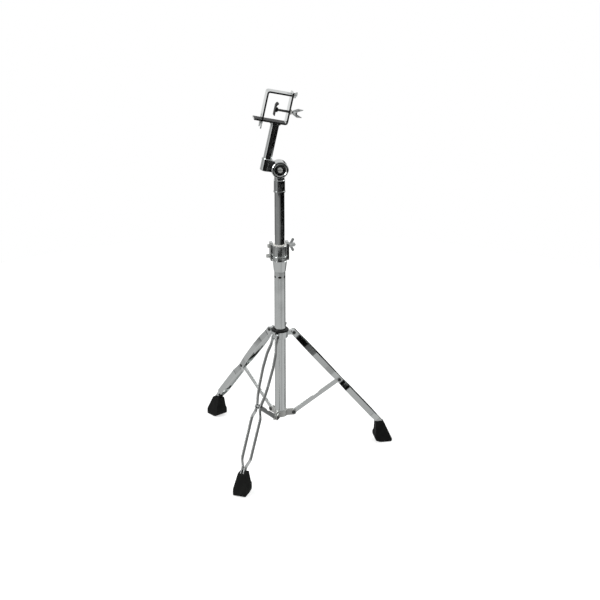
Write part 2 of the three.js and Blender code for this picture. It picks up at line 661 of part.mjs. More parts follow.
// Height clamp, built above its foot
function clampBody() {
  const bore = baseRadius + SEAT;
  const body = solidOf(turned([
    [bore, 0], [CLAMP_TOE_RADIUS, 0], [CLAMP_FOOT_RADIUS, CLAMP_TOE],
    [CLAMP_SLEEVE_RADIUS, CLAMP_TAPER], [CLAMP_NECK_RADIUS, CLAMP_TAPER + EDGE],
    [CLAMP_NECK_RADIUS, CLAMP_NECK], [CLAMP_SLEEVE_RADIUS, CLAMP_NECK + EDGE],
    [CLAMP_SLEEVE_RADIUS, CLAMP_LEDGE], [CLAMP_GROOVE_RADIUS, CLAMP_LEDGE],
    [CLAMP_GROOVE_RADIUS, CLAMP_GROOVE], [CLAMP_BAND_RADIUS - EDGE, CLAMP_GROOVE],
    [CLAMP_BAND_RADIUS, CLAMP_GROOVE + EDGE], [CLAMP_BAND_RADIUS, CLAMP_TOP - EDGE],
    [CLAMP_BAND_RADIUS - EDGE, CLAMP_TOP], [bore, CLAMP_TOP], [bore, 0],
  ]));
  const cheek = rounded([
    [CHEEK_FRONT, CHEEK_BOTTOM, EDGE], [CHEEK_BACK, CHEEK_BOTTOM, CHEEK_ROUND],
    [CHEEK_BACK, CHEEK_TOP, CHEEK_ROUND], [CHEEK_FRONT + CHEEK_ROUND, CHEEK_TOP, EDGE],
    [CHEEK_FRONT, CLAMP_TOP - EDGE, EDGE],
  ]);
  const height = CLAMP_TOP - CHEEK_BOTTOM - 2 * EDGE;
  const cheeks = [[-CHEEK_LEFT, 1], [CHEEK_RIGHT, -1]].flatMap(([outside, inward]) => {
    const middle = outside + (inward * CHEEK_THICKNESS) / 2;
    const plate = plateXZ(cheek, CHEEK_THICKNESS).rotateZ(Math.PI / 2).translate(middle, 0, 0);
    const shoulder = block(
      Math.abs(middle) - CLAMP_SPLIT, SHOULDER_DEPTH, height,
      (middle - inward * CLAMP_SPLIT) / 2, CHEEK_FRONT + SHOULDER_DEPTH / 2,
      CHEEK_BOTTOM + EDGE + height / 2,
    );
    return [solidOf(plate), solidOf(shoulder)];
  });
  const split = block(
    CLAMP_SPLIT, CHEEK_BACK, 2 * (CLAMP_TOP - CHEEK_BOTTOM),
    0, CHEEK_BACK / 2, CHEEK_BOTTOM + (CLAMP_TOP - CHEEK_BOTTOM),
  );
  const holes = [CLAMP_BOLT_HEIGHT, FIXING_BOLT_HEIGHT].map((z) => solidOf(
    towardX(rod(threadHole, -2 * CHEEK_RIGHT, 2 * CHEEK_RIGHT)).translate(0, CLAMP_BOLT_BACK, z)));
  const through = solidOf(rod(bore, -OVERRUN, CHEEK_TOP + OVERRUN, TUBE_FACETS));
  return cut(join(body, ...cheeks), through, solidOf(split), ...holes);
}

function clampBush() {
  const inner = upperRadius + SEAT;
  const flange = clampTop + SEAT;
  return turned([
    [inner, baseTop + SEAT], [baseRadius, baseTop + SEAT], [baseRadius, flange],
    [MAST_BUSH_FLANGE_RADIUS, flange], [MAST_BUSH_FLANGE_RADIUS, flange + MAST_BUSH_FLANGE],
    [inner, flange + MAST_BUSH_FLANGE], [inner, baseTop + SEAT],
  ]);
}

// Tilter castings, built around the tilt axis, which runs along Y through the origin
function disc(turn) {
  const rim = DISC_RADIUS - RIM_WIDTH;
  return turned([
    [0, SEAT / 2], [DISC_RADIUS, SEAT / 2], [DISC_RADIUS, DISC_DEPTH - DISC_EDGE],
    [DISC_RADIUS - DISC_EDGE, DISC_DEPTH], [rim, DISC_DEPTH],
    [rim - RECESS_DEPTH, DISC_DEPTH - RECESS_DEPTH], [0, DISC_DEPTH - RECESS_DEPTH],
  ]).rotateX(turn);
}

const boltBore = () => solidOf(towardY(rod(threadHole, -2 * DISC_DEPTH, 2 * DISC_DEPTH)));

function tilterBase() {
  const bottom = -SLEEVE_BOTTOM_TO_AXIS;
  const top = bottom + SLEEVE_HEIGHT;
  const bore = upperRadius + SEAT;
  const sleeve = solidOf(turned([
    [0, top - SLEEVE_CAP], [bore, top - SLEEVE_CAP], [bore, bottom],
    [SLEEVE_LIP_RADIUS, bottom], [SLEEVE_LIP_RADIUS, bottom + SLEEVE_LIP_HEIGHT],
    [SLEEVE_RADIUS, bottom + SLEEVE_LIP_HEIGHT], [SLEEVE_RADIUS, top],
    [SLEEVE_RADIUS - EDGE, top + EDGE], [0, top + EDGE],
  ]));
  const neck = solidOf(rod(SLEEVE_RADIUS - EDGE, top, top + NECK_ABOVE_SLEEVE, TUBE_FACETS));
  const room = DISC_RADIUS + DISC_CLEARANCE;
  const front = solidOf(turned([
    [0, -SEAT / 2], [room, -SEAT / 2], [room, 2 * DISC_DEPTH], [0, 2 * DISC_DEPTH],
  ]).rotateX(Math.PI / 2));
  return cut(join(sleeve, neck, solidOf(disc(-Math.PI / 2))), front, boltBore());
}

function tilterHead() {
  const bore = armRadius + SEAT;
  const outer = bore + SOCKET_WALL;
  const lip = outer + SOCKET_RING;
  const floor = SOCKET_FLOOR - SOCKET_BOTTOM;
  const socket = solidOf(turned([
    [0, -SOCKET_BOTTOM], [outer - EDGE, -SOCKET_BOTTOM], [outer, EDGE - SOCKET_BOTTOM],
    [outer, SOCKET_TOP - SOCKET_RING_HEIGHT], [lip, SOCKET_TOP - SOCKET_RING_HEIGHT],
    [lip, SOCKET_TOP], [bore, SOCKET_TOP], [bore, floor], [0, floor],
  ]).translate(-ARM_OFFSET, 0, 0));
  const webTop = SOCKET_TOP - WEB_BELOW_TOP;
  const webEnd = DISC_RADIUS - RIM_WIDTH;
  const web = solidOf(block(
    ARM_OFFSET - webEnd, WEB_DEPTH, webTop + SOCKET_BOTTOM - EDGE,
    -(ARM_OFFSET + webEnd) / 2, -EDGE - WEB_DEPTH / 2, (webTop - SOCKET_BOTTOM + EDGE) / 2));
  const hollow = solidOf(rod(bore, floor, SOCKET_TOP + OVERRUN, TUBE_FACETS).translate(-ARM_OFFSET, 0, 0));
  return cut(join(socket, web, solidOf(disc(Math.PI / 2))), hollow, boltBore());
}

// Clamp frame in the plane of the head: X to the right, Z along the arm
const frameTop = FRAME_BOTTOM + FRAME_HEIGHT;
const frameLeft = FRAME_RIGHT - FRAME_WIDTH;
const barTop = FRAME_BOTTOM + BAR_THICKNESS;
const barInside = FRAME_RIGHT - BAR_THICKNESS;
const lowStud = frameLeft + BAR_THICKNESS / 2;
const topStud = frameTop - BAR_THICKNESS / 2;
const pressHeight = FRAME_BOTTOM + SCREW_ABOVE_BOTTOM;

function alongHead(radius, from, to, height) {
  return solidOf(towardX(rod(radius, from, to)).translate(0, 0, height));
}

function clampFrame() {
  const inner = FRAME_CORNER - BAR_THICKNESS;
  const ell = solidOf(plateXZ(rounded([
    [frameLeft - LOW_TAB, FRAME_BOTTOM, EDGE], [FRAME_RIGHT, FRAME_BOTTOM, FRAME_CORNER],
    [FRAME_RIGHT, frameTop + TOP_TAB, EDGE], [barInside, frameTop + TOP_TAB, EDGE],
    [barInside, barTop, inner], [frameLeft - LOW_TAB, barTop, EDGE],
  ]), BAR_DEPTH));
  const flange = solidOf(ring(armRadius + SEAT, ARM_FLANGE_RADIUS, FRAME_BOTTOM - ARM_FLANGE_HEIGHT,
    FRAME_BOTTOM + BAR_THICKNESS / 2).translate(-ARM_OFFSET, 0, 0));
  const cup = solidOf(rod(armRadius + SEAT, FRAME_BOTTOM - ARM_FLANGE_HEIGHT - OVERRUN,
    FRAME_BOTTOM, TUBE_FACETS).translate(-ARM_OFFSET, 0, 0));
  const low = solidOf(rod(threadHole, FRAME_BOTTOM - OVERRUN, barTop + OVERRUN).translate(lowStud, 0, 0));
  const side = alongHead(threadHole, barInside - OVERRUN, FRAME_RIGHT + OVERRUN, topStud);
  const press = alongHead(threadHole, barInside - OVERRUN, FRAME_RIGHT + OVERRUN, pressHeight);
  return cut(join(ell, flange), cup, low, side, press);
}

function clampGate() {
  const inner = FRAME_CORNER - BAR_THICKNESS;
  const foot = barTop + SEAT;
  const end = barInside - SEAT;
  const ell = solidOf(plateXZ(rounded([
    [frameLeft, foot, 0], [frameLeft + BAR_THICKNESS, foot, 0],
    [frameLeft + BAR_THICKNESS, frameTop - BAR_THICKNESS, inner],
    [end, frameTop - BAR_THICKNESS, 0], [end, frameTop, 0], [frameLeft, frameTop, FRAME_CORNER],
  ]), BAR_DEPTH));
  const low = solidOf(rod(THREAD_RADIUS, FRAME_BOTTOM - LOW_STUD_LENGTH, foot + STUD_WELD)
    .translate(lowStud, 0, 0));
  const side = alongHead(THREAD_RADIUS, end - STUD_WELD, FRAME_RIGHT + TOP_STUD_LENGTH, topStud);
  return join(ell, low, side);
}

// Pressure pad: a plate with a curled top and a cup for the screw tip
const padFace = barInside - PAD_FROM_BAR;

function pressurePad() {
  const back = padFace - PAD_THICKNESS;
  const top = pressHeight + PAD_ABOVE;
  const low = pressHeight - PAD_BELOW;
  const plate = solidOf(plateXZ(rounded([
    [back, low, EDGE], [padFace, low, EDGE], [padFace, top, PAD_CURL],
    [padFace + PAD_CURL_REACH, top + PAD_CURL_RISE - PAD_THICKNESS, EDGE],
    [padFace + PAD_CURL_REACH, top + PAD_CURL_RISE, EDGE],
    [back + PAD_THICKNESS, top + PAD_CURL_RISE - EDGE, EDGE], [back, top, PAD_CURL / 2],
  ]), PAD_WIDTH));
  const cup = alongHead(CUP_RADIUS, padFace - EDGE, padFace + CUP_DEPTH, pressHeight);
  const bore = alongHead(threadHole, padFace, padFace + CUP_DEPTH + OVERRUN, pressHeight);
  return cut(join(plate, cup), bore);
}

// Assembly
const stand = new THREE.Group();
stand.name = "bongo_stand";

function addMast() {
  part(stand, "base_tube", baseTube(), "chrome");
  part(stand, "lower_collar", lowerCollar(), "steel");
  const clamp = new THREE.Group();
  clamp.position.z = clampFoot;
  stand.add(clamp);
  part(clamp, "height_clamp", clampBody(), "zinc");
  const headSide = -CHEEK_LEFT - SEAT;
  const length = CHEEK_RIGHT + 2 * SEAT + CLAMP_NUT_LENGTH + CLAMP_BOLT_PAST_NUT - headSide;
  part(clamp, "clamp_bolt", towardX(bolt(BOLT_HEAD_RADIUS, BOLT_HEAD_HEIGHT, length)), "steel",
    { x: headSide, y: CLAMP_BOLT_BACK, z: CLAMP_BOLT_HEIGHT });
  const fixing = CHEEK_RIGHT - headSide - EDGE;
  part(clamp, "fixing_bolt", towardX(bolt(BOLT_HEAD_RADIUS, FIXING_HEAD_HEIGHT, fixing)), "steel",
    { x: headSide, y: CLAMP_BOLT_BACK, z: FIXING_BOLT_HEIGHT });
  const nut = wingNut(CLAMP_NUT_RADIUS, CLAMP_NUT_LENGTH, CLAMP_WING_SPAN,
    CLAMP_NUT_LENGTH - CLAMP_WING_START, CLAMP_WING_START);
  part(clamp, "clamp_wing_nut", towardX(geometryOf(nut)), "zinc",
    { x: CHEEK_RIGHT + SEAT, y: CLAMP_BOLT_BACK, z: CLAMP_BOLT_HEIGHT });
  part(stand, "mast_bush", clampBush(), "natural");
  const tubeTop = sleeveBottom + SLEEVE_HEIGHT - SLEEVE_CAP - SEAT;
  part(stand, "upper_tube",
    ring(upperRadius - TUBE_WALL, upperRadius, tubeTop - UPPER_LENGTH, tubeTop), "chrome");
}

function addCollar() {
  part(stand, "upper_collar", upperCollar(), "zinc");
  part(stand, "collar_bush", collarBush(), "nylon");
  const tip = baseRadius + SEAT;
  const screw = wingScrew(tip, SCREW_BOSS_REACH + EDGE, COLLAR_SCREW_HUB, COLLAR_SCREW_LENGTH / 2,
    COLLAR_SCREW_SPAN, COLLAR_SCREW_LENGTH);
  part(stand, "collar_wing_screw", aroundScrew(geometryOf(screw)), "zinc");
}

function addLeg(i) {
  const spoke = new THREE.Group();
  spoke.rotation.z = (2 * Math.PI * i) / 3;
  stand.add(spoke);
  const leg = new THREE.Group();
  leg.position.set(UPPER_EAR_REACH, 0, upperEarHeight);
  leg.rotation.y = slope;
  spoke.add(leg);
  const name = `leg_${i + 1}`;
  part(leg, `${name}_strip_a`, strip(1), "chrome");
  part(leg, `${name}_strip_b`, strip(-1), "chrome");
  part(leg, `${name}_rivet`, rivet(EAR_SPREAD + STRIP_THICKNESS / 2 + SEAT), "steel");
  part(leg, `${name}_pivot_a`, pivotHalf(1), "steel", { x: LEG_TO_PIVOT });
  part(leg, `${name}_pivot_b`, pivotHalf(-1), "steel", { x: LEG_TO_PIVOT });
  part(spoke, `foot_${i + 1}`, foot(), "rubber");
  const stay = new THREE.Group();
  stay.position.set(LOWER_EAR_REACH, 0, LOWER_EAR_HEIGHT);
  stay.rotation.y = -braceSlope;
  spoke.add(stay);
  part(stay, `brace_${i + 1}`, brace(), "chrome");
  part(stay, `brace_${i + 1}_rivet`, rivet(BRACE_THICKNESS / 2 + EAR_THICKNESS + 2 * SEAT), "steel");
}

function addHead() {
  const axis = new THREE.Group();
  axis.position.z = tiltHeight;
  stand.add(axis);
  part(axis, "tilter_base", tilterBase(), "zinc");
  const grip = DISC_DEPTH - RECESS_DEPTH + SEAT;
  const boltLength = 2 * grip + TILT_NUT_LENGTH + EDGE;
  const axle = towardY(bolt(TILT_HEAD_RADIUS, TILT_HEAD_HEIGHT, boltLength));
  part(axis, "tilter_bolt", axle, "steel", { y: -grip });
  const nut = wingNut(TILT_NUT_RADIUS, TILT_NUT_LENGTH, TILT_WING_SPAN, TILT_NUT_LENGTH,
    RECESS_DEPTH + EDGE);
  part(axis, "tilter_wing_nut", towardY(geometryOf(nut)), "zinc", { y: grip });
  const head = new THREE.Group();
  head.rotation.y = rad(TILT_LEAN);
  axis.add(head);
  part(head, "tilter_head", tilterHead(), "zinc");
  const armFoot = SOCKET_FLOOR - SOCKET_BOTTOM + SEAT;
  part(head, "arm_tube", ring(armRadius - TUBE_WALL, armRadius, armFoot, FRAME_BOTTOM - SEAT),
    "chrome", { x: -ARM_OFFSET });
  addClamp(head);
}

function addClamp(head) {
  part(head, "clamp_frame", clampFrame(), "chrome");
  part(head, "clamp_gate", clampGate(), "chrome");
  const low = wingNut(GATE_NUT_RADIUS, LOW_NUT_LENGTH * GATE_HUB_SHARE, GATE_WING_SPAN, LOW_NUT_LENGTH);
  const under = geometryOf(low).rotateX(Math.PI).rotateZ(Math.PI / 2);
  part(head, "gate_nut_low", under, "zinc", { x: lowStud, z: FRAME_BOTTOM - SEAT });
  const side = wingNut(GATE_NUT_RADIUS, TOP_NUT_LENGTH * (1 - GATE_HUB_SHARE), GATE_WING_SPAN,
    TOP_NUT_LENGTH);
  const aside = geometryOf(side).rotateZ(rad(SIDE_NUT_TURN));
  part(head, "gate_nut_side", towardX(aside), "zinc", { x: FRAME_RIGHT + SEAT, z: topStud });
  const hexagon = solidOf(rod(NUT_RADIUS, 0, NUT_HEIGHT, NUT_SIDES));
  const nut = cut(hexagon, solidOf(rod(threadHole, -OVERRUN, NUT_HEIGHT + OVERRUN)));
  part(head, "press_nut", towardX(geometryOf(nut)), "steel", { x: FRAME_RIGHT + SEAT, z: pressHeight });
  const base = FRAME_RIGHT + SEAT + NUT_HEIGHT + PRESS_STANDOFF;
  const screw = wingScrew(padFace + SEAT, base, PRESS_COLLAR_RADIUS, PRESS_HUB_LENGTH,
    PRESS_WING_SPAN, PRESS_WING_LENGTH);
  part(head, "press_screw", towardX(geometryOf(screw)), "zinc", { z: pressHeight });
  part(head, "press_pad", pressurePad(), "dark");
}

addMast();
addCollar();
THIRDS.forEach(addLeg);
addHead();

stand.updateMatrixWorld(true);
const box = new THREE.Box3().setFromObject(stand, true);
const middle = box.getCenter(new THREE.Vector3());
stand.position.set(-middle.x, -middle.y, -box.min.z);
stand.updateMatrixWorld(true);

export default stand;
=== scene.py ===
# %% [markdown]
# # Bongo stand
# A folding tripod stand that holds a pair of bongos at standing height. Its solids come from the
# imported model. This script keeps their sizes and gives them what an eye expects: round chromed
# tubes, rolled edges, domed rivets, threads, moulded rubber and a plain studio around them.

import json
import math

import bpy
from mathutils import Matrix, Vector


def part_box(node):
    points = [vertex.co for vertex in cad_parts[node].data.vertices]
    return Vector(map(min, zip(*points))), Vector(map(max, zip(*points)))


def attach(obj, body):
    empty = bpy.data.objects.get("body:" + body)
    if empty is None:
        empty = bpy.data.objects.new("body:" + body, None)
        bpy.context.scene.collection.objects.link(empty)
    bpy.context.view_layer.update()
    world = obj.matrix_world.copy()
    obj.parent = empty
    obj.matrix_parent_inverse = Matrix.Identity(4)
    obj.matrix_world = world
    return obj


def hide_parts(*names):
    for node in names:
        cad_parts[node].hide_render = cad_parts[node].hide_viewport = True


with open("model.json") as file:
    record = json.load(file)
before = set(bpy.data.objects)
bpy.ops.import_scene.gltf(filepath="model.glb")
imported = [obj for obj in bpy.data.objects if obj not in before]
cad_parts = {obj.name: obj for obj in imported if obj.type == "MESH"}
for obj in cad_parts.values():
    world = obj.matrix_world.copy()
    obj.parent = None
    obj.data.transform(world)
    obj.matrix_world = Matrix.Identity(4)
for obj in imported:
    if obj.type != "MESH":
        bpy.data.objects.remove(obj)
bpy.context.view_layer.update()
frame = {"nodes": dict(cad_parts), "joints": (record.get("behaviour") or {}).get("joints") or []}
MM = 0.001
joint = {j["name"]: j for j in frame["joints"]}

# %% [markdown]
# ## Working by operators
# Every operator acts on what is selected, so each piece starts from an empty selection. A finished
# piece has its place in its mesh and its object at the origin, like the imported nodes, so that the
# patterns of the finishes stay put when a body moves.


# %% Selection and hand-over
def deselect():
    if bpy.context.mode != "OBJECT":
        bpy.ops.object.mode_set(mode="OBJECT")
    bpy.ops.object.select_all(action="DESELECT")


def make_active(piece):
    deselect()
    piece.select_set(True)
    bpy.context.view_layer.objects.active = piece


def apply_modifiers(piece):
    make_active(piece)
    for modifier in list(piece.modifiers):
        bpy.ops.object.modifier_apply(modifier=modifier.name)


def join(piece, other):
    """Joins another piece's mesh into this one."""
    deselect()
    other.select_set(True)
    piece.select_set(True)
    bpy.context.view_layer.objects.active = piece
    bpy.ops.object.join()


def hand_over(piece, name, body, slot, material, *nodes):
    """Settles the place in the mesh, gives the finish, and lets the piece stand for its nodes."""
    make_active(piece)
    bpy.ops.object.transform_apply(location=True, rotation=True, scale=True)
    piece.name = name
    piece.data.name = name
    piece.data.materials.clear()
    piece.data.materials.append(material)
    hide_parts(*nodes)
    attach(piece, body)
    print(name, "faces", len(piece.data.polygons))
    return piece


# %% [markdown]
# ## Turned pieces
# A tube, a bush or a rivet is turned on a lathe. A cylinder with bevels could pass for one, but
# its profile would be hard to read. Here a circle is the first ring of the profile, and each
# further ring is an extrusion that is moved along Z and scaled to its radius. A solid piece gets
# a face at both ends, and a tube's last ring is merged with its first.

# %% Turn a profile of (radius, height) rings, in millimetres
ROUND = 64
MERGE = 1e-6
TURNED_ANGLE = 30


def turn(rings, sides=ROUND, hollow=False):
    radius, height = rings[0]
    deselect()
    bpy.ops.mesh.primitive_circle_add(
        vertices=sides, radius=radius * MM, location=(0, 0, height * MM)
    )
    piece = bpy.context.object
    bpy.ops.object.transform_apply(location=True, rotation=False, scale=False)
    bpy.ops.object.mode_set(mode="EDIT")
    bpy.ops.mesh.select_mode(type="EDGE")
    bpy.ops.mesh.select_all(action="SELECT")
    for next_radius, next_height in rings[1:]:
        bpy.ops.mesh.extrude_edges_move(
            TRANSFORM_OT_translate={"value": (0, 0, (next_height - height) * MM)}
        )
        grow = next_radius / radius
        bpy.ops.transform.resize(value=(grow, grow, 1), center_override=(0, 0, next_height * MM))
        radius, height = next_radius, next_height
    if hollow:
        bpy.ops.mesh.select_all(action="SELECT")
        bpy.ops.mesh.remove_doubles(threshold=MERGE)
    else:
        bpy.ops.mesh.select_all(action="DESELECT")
        bpy.ops.mesh.select_non_manifold()
        bpy.ops.mesh.edge_face_add()
    bpy.ops.mesh.select_all(action="SELECT")
    bpy.ops.mesh.normals_make_consistent(inside=False)
    bpy.ops.object.mode_set(mode="OBJECT")
    return piece


def smooth(piece, degrees=TURNED_ANGLE):
    make_active(piece)
    bpy.ops.object.shade_smooth_by_angle(angle=math.radians(degrees))
    return piece


def stand_at(piece, origin, axis):
    """Turns a piece that was made along +Z to the given axis, and moves it to its origin."""
    make_active(piece)
    piece.rotation_euler = Vector((0, 0, 1)).rotation_difference(Vector(axis)).to_euler()
    piece.location = origin
    bpy.ops.object.transform_apply(location=True, rotation=True, scale=True)
    return piece


# %% [markdown]
# ## Cast and bent pieces
# A casting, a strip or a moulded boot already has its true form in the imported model, but as loose
# triangles with razor edges. Modelling it again would only risk another size. So a copy is
# merged, its flat facets are joined, its edges get a bevel of the size that the mould or the
# tumbling left, and it is shaded smooth across small angles. Weighted normals then keep the wide
# faces flat, which a mirror finish would otherwise give away.

# %% Dress a copy of a node
COPY_MERGE = 2e-6
FLAT_ANGLE = 1


def merged_copy(node):
    source = frame["nodes"][node]
    piece = bpy.data.objects.new(node + "_dressed", source.data.copy())
    bpy.context.scene.collection.objects.link(piece)
    make_active(piece)
    bpy.ops.object.mode_set(mode="EDIT")
    bpy.ops.mesh.select_all(action="SELECT")
    bpy.ops.mesh.remove_doubles(threshold=COPY_MERGE)
    bpy.ops.mesh.dissolve_limited(angle_limit=math.radians(FLAT_ANGLE))
    bpy.ops.object.mode_set(mode="OBJECT")
    return piece


def dressed(node, body, slot, material, edge_mm, segments=2, angle=40):
    piece = merged_copy(node)
    bevel = piece.modifiers.new("Edges", "BEVEL")
    bevel.width = edge_mm * MM
    bevel.segments = segments
    bevel.limit_method = "ANGLE"
    bevel.angle_limit = math.radians(angle)
    apply_modifiers(piece)
    smooth(piece, angle)
    flats = piece.modifiers.new("Flats", "WEIGHTED_NORMAL")
    flats.keep_sharp = True
    apply_modifiers(piece)
    return hand_over(piece, node + "_dressed", body, slot, material, node)


# %% [markdown]
# ## Finishes
# All colours are written as sRGB hex and turned to linear by one function. A node is added by one
# small function that takes its settings and its links, so a material reads from top to bottom.


# %% Colour and node helpers
def linear(hex_colour):
    channels = [int(hex_colour[i:i + 2], 16) / 255 for i in (1, 3, 5)]
    return [c / 12.92 if c <= 0.04045 else ((c + 0.055) / 1.055) ** 2.4 for c in channels] + [1]


def add_node(tree, kind, settings=None, links=None):
    """Adds a node, sets its properties or sockets by name, and links sockets to other outputs."""
    node = tree.nodes.new(kind)
    for name, value in (settings or {}).items():
        if isinstance(name, str) and name in node.bl_rna.properties:
            setattr(node, name, value)
        else:
            node.inputs[name].default_value = value
    for name, output in (links or {}).items():
        tree.links.new(output, node.inputs[name])
    return node


def new_material(name):
    material = bpy.data.materials.new(name)
    material.use_nodes = True
    tree = material.node_tree
    tree.nodes.clear()
    place = add_node(tree, "ShaderNodeTexCoord").outputs["Object"]
    return material, tree, place


def close_material(tree, shader):
    add_node(tree, "ShaderNodeOutputMaterial", links={"Surface": shader.outputs[0]})


def per_metre(size_mm):
    """A noise scale whose features are about size_mm wide."""
    return 1 / (size_mm * MM)


# %% [markdown]
# ### Plated metal
# Bright chromium over nickel. The plate is a mirror, so what the eye sees is the studio, and its
# own pattern has to stay faint. Handling leaves a film that spreads the mirror a little in
# patches, and the buffing wheel or the rolling mill leaves fine marks. They are really some
# hundredths of a millimetre wide, and are drawn about 1 mm wide so that they show at all. A
# stretch below 1 draws the marks out along that axis. Cast pieces are a little rougher, and nuts
# and bolts are nickel or plain steel, which spreads the mirror to a satin sheen.

# %% Plated finishes
CHROME = "#CDD0CF"
PATCH_LOW, PATCH_HIGH = 0.35, 0.65
MARK_STRENGTH = 0.25


def chrome(name, colour, low, high, patch_mm, mark_mm, mark_depth_mm, stretch):
    """A plated finish: its roughness runs from low to high in patches, under fine marks."""
    material, tree, place = new_material(name)
    patches = add_node(tree, "ShaderNodeTexNoise",
                       {"Scale": per_metre(patch_mm), "Detail": 3}, {"Vector": place})
    polish = add_node(tree, "ShaderNodeMapRange",
                      {"From Min": PATCH_LOW, "From Max": PATCH_HIGH,
                       "To Min": low, "To Max": high},
                      {"Value": patches.outputs[0]})
    drawn = add_node(tree, "ShaderNodeMapping", {"Scale": stretch}, {"Vector": place})
    marks = add_node(tree, "ShaderNodeTexNoise",
                     {"Scale": per_metre(mark_mm), "Detail": 2}, {"Vector": drawn.outputs[0]})
    relief = add_node(tree, "ShaderNodeBump",
                      {"Strength": MARK_STRENGTH, "Distance": mark_depth_mm * MM},
                      {"Height": marks.outputs[0]})
    shader = add_node(tree, "ShaderNodeBsdfPrincipled",
                      {"Base Color": linear(colour), "Metallic": 1},
                      {"Roughness": polish.outputs[0], "Normal": relief.outputs[0]})
    close_material(tree, shader)
    return material


# Name, colour, least and most roughness, patch, mark and mark depth in mm, stretch of the marks
chrome_tube = chrome("chrome_on_drawn_tube", CHROME, 0.05, 0.12, 30, 1, 0.01, (0.2, 0.2, 1))
chrome_strip = chrome("chrome_on_rolled_strip", CHROME, 0.05, 0.1, 18, 1.2, 0.01, (1, 1, 0.3))
chrome_bar = chrome("chrome_on_flat_bar", CHROME, 0.05, 0.12, 15, 1, 0.01, (1, 0.2, 1))
chrome_cast = chrome("chrome_on_die_cast_zinc", CHROME, 0.05, 0.12, 8, 2.5, 0.03, (1, 1, 1))
satin_cast = chrome("satin_nickel_on_cast_zinc", CHROME, 0.3, 0.42, 5, 1.2, 0.03, (1, 1, 1))
nickel_steel = chrome("nickel_on_turned_steel", "#C6C7C4", 0.3, 0.42, 6, 0.6, 0.02, (1, 1, 1))
rivet_steel = chrome("oiled_dark_rivet_steel", "#565756", 0.18, 0.3, 5, 0.5, 0.02, (1, 1, 1))
# Near-black chrome, painted into the crimp hollows as painted shade.
crimp_painted_shade = chrome("chrome_with_painted_shade_in_a_crimp", "#161717", 0.3, 0.4, 4, 0.4, 0.03, (1, 1, 1))

# %% [markdown]
# ### Rubber, nylon and black coating
# The boots are moulded rubber, matt, with a slightly grey bloom in patches. Its fine pores scatter
# most of the mirror part of the light, so that part is turned down. The collar's bush is black
# nylon, and the clamp's bush is nylon in its natural off-white, both with the soft gloss of a
# polished mould. The pressure pad has a hard black coating over blasted steel.

# %% Rubber, nylon and coating
BLOOM_MM = 12
BLOOM_LOW, BLOOM_HIGH = 0.42, 0.7
GRAIN_STRENGTH = 0.4
SMOOTHER, ROUGHER = 0.06, 0.08


def moulded(name, colour, worn, roughness, grain_mm, grain_depth_mm, gloss=0.5):
    """A dull finish whose colour runs to a worn one in patches, over a fine grain."""
    material, tree, place = new_material(name)
    bloom = add_node(tree, "ShaderNodeTexNoise",
                     {"Scale": per_metre(BLOOM_MM), "Detail": 4}, {"Vector": place})
    blend = add_node(tree, "ShaderNodeMapRange",
                     {"From Min": BLOOM_LOW, "From Max": BLOOM_HIGH},
                     {"Value": bloom.outputs[0]})
    tint = add_node(tree, "ShaderNodeMix", {"data_type": "RGBA"}, {0: blend.outputs[0]})
    tint.inputs[6].default_value = linear(colour)
    tint.inputs[7].default_value = linear(worn)
    grain = add_node(tree, "ShaderNodeTexNoise",
                     {"Scale": per_metre(grain_mm), "Detail": 2}, {"Vector": place})
    relief = add_node(tree, "ShaderNodeBump",
                      {"Strength": GRAIN_STRENGTH, "Distance": grain_depth_mm * MM},
                      {"Height": grain.outputs[0]})
    matt = add_node(tree, "ShaderNodeMapRange",
                    {"To Min": roughness - SMOOTHER, "To Max": roughness + ROUGHER},
                    {"Value": bloom.outputs[0]})
    shader = add_node(tree, "ShaderNodeBsdfPrincipled", {"Specular IOR Level": gloss},
                      {"Base Color": tint.outputs[2], "Roughness": matt.outputs[0],
                       "Normal": relief.outputs[0]})
    close_material(tree, shader)
    return material


# Name, colour, worn colour, roughness, grain and grain depth in mm, gloss
rubber = moulded("moulded_black_rubber", "#0F100F", "#181917", 0.7, 0.8, 0.08, 0.15)
nylon = moulded("black_nylon", "#0A0B0A", "#131413", 0.42, 1.5, 0.03, 0.2)
white_nylon = moulded("natural_nylon", "#F1F0EB", "#E8E6DE", 0.4, 1.5, 0.02)
# The pad's real black coating; the same black is painted shade on the clamp frame's upward faces.
dark_coat_and_painted_shade = moulded("black_steel_and_painted_shade", "#08090A", "#101112", 0.34, 0.7, 0.04, 0.12)
print("materials", len(bpy.data.materials))

# %% [markdown]
# ## Mast tubes
# Each tube is a long cylinder with a wall, and its ends are rolled over so that no sharp lip is
# left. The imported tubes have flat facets, so they are turned anew, from the sizes of their boxes.

# %% Base tube with rolled ends
WALL = 1.2
ROLL = 0.4


def tube(bottom, top, outer):
    inner = outer - WALL
    middle = (bottom + top) / 2
    return turn([
        (inner, bottom + ROLL), (inner + ROLL, bottom), (outer - ROLL, bottom),
        (outer, bottom + ROLL), (outer, middle), (outer, top - ROLL),
        (outer - ROLL, top), (inner + ROLL, top), (inner, top - ROLL),
        (inner, middle), (inner, bottom + ROLL),
    ], hollow=True)


def box_mm(node):
    low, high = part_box(node)
    return low / MM, high / MM


mast_axis = Vector(joint["mast_swivel"]["pos_m"])
mast_foot = Vector((mast_axis.x, mast_axis.y, 0))
low, high = box_mm("base_tube")
base_radius = (high.y - low.y) / 2
base_tube = stand_at(tube(low.z, high.z, base_radius), mast_foot, (0, 0, 1))
print("base tube, mm", round(2 * base_radius, 1), round(high.z - low.z, 1))
